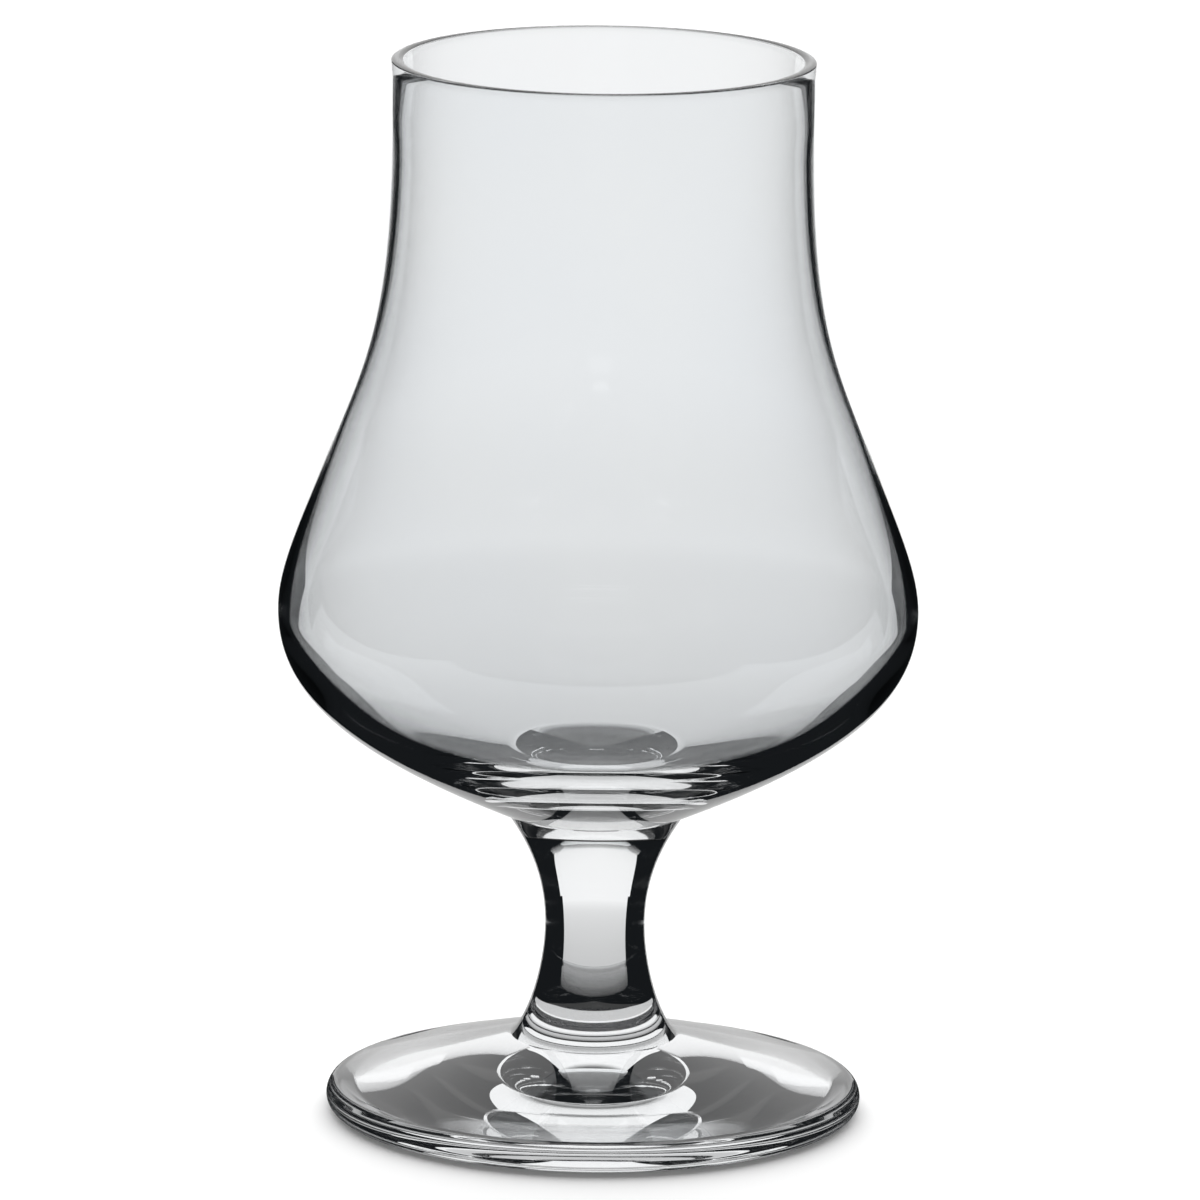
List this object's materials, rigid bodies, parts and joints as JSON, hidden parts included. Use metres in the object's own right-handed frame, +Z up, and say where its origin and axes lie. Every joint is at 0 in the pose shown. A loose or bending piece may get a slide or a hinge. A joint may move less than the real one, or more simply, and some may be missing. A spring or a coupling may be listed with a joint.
{
  "type": "tulip glass",
  "caption": "Clear tulip-shaped tasting glass: wide belly, narrow straight mouth, short waisted stem and a round foot.",
  "frame": {"origin": "centre of the circle on which the foot rests, in the plane of the table", "axes": "+Z up along the glass's axis, from the foot to the mouth; X and Y are any two level directions, as the glass is round"},
  "size_m": [0.0684, 0.0684, 0.1145],
  "materials": {
    "clear_glass": "clear, fire-polished, smooth and glossy"
  },
  "bodies": {
    "root": {"bowl": "clear_glass", "stem": "clear_glass", "foot": "clear_glass"}
  },
  "joints": []
}
